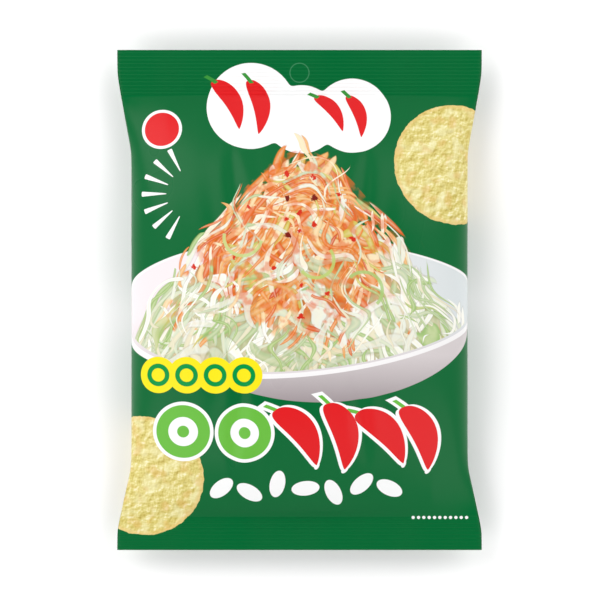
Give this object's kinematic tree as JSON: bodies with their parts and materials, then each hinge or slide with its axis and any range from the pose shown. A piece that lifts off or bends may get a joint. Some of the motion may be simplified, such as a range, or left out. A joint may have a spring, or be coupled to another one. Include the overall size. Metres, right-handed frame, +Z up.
{
  "type": "snack pillow pack",
  "caption": "Shut pillow pack of thin rice crackers: printed green film, crimped end seals, fin seam down the back, lying on its back.",
  "frame": {"origin": "under the middle of the pack, on the surface that it lies on", "axes": "+Y towards the pack's top edge, +X to the right as the printed front is seen, +Z up out of the printed front"},
  "size_m": [0.1604, 0.22, 0.0391],
  "materials": {
    "printed_film": "satin printed film, green ground with fields of white, cream, yellow, red and leaf green"
  },
  "bodies": {
    "root": {"pouch": "printed_film"}
  },
  "joints": []
}
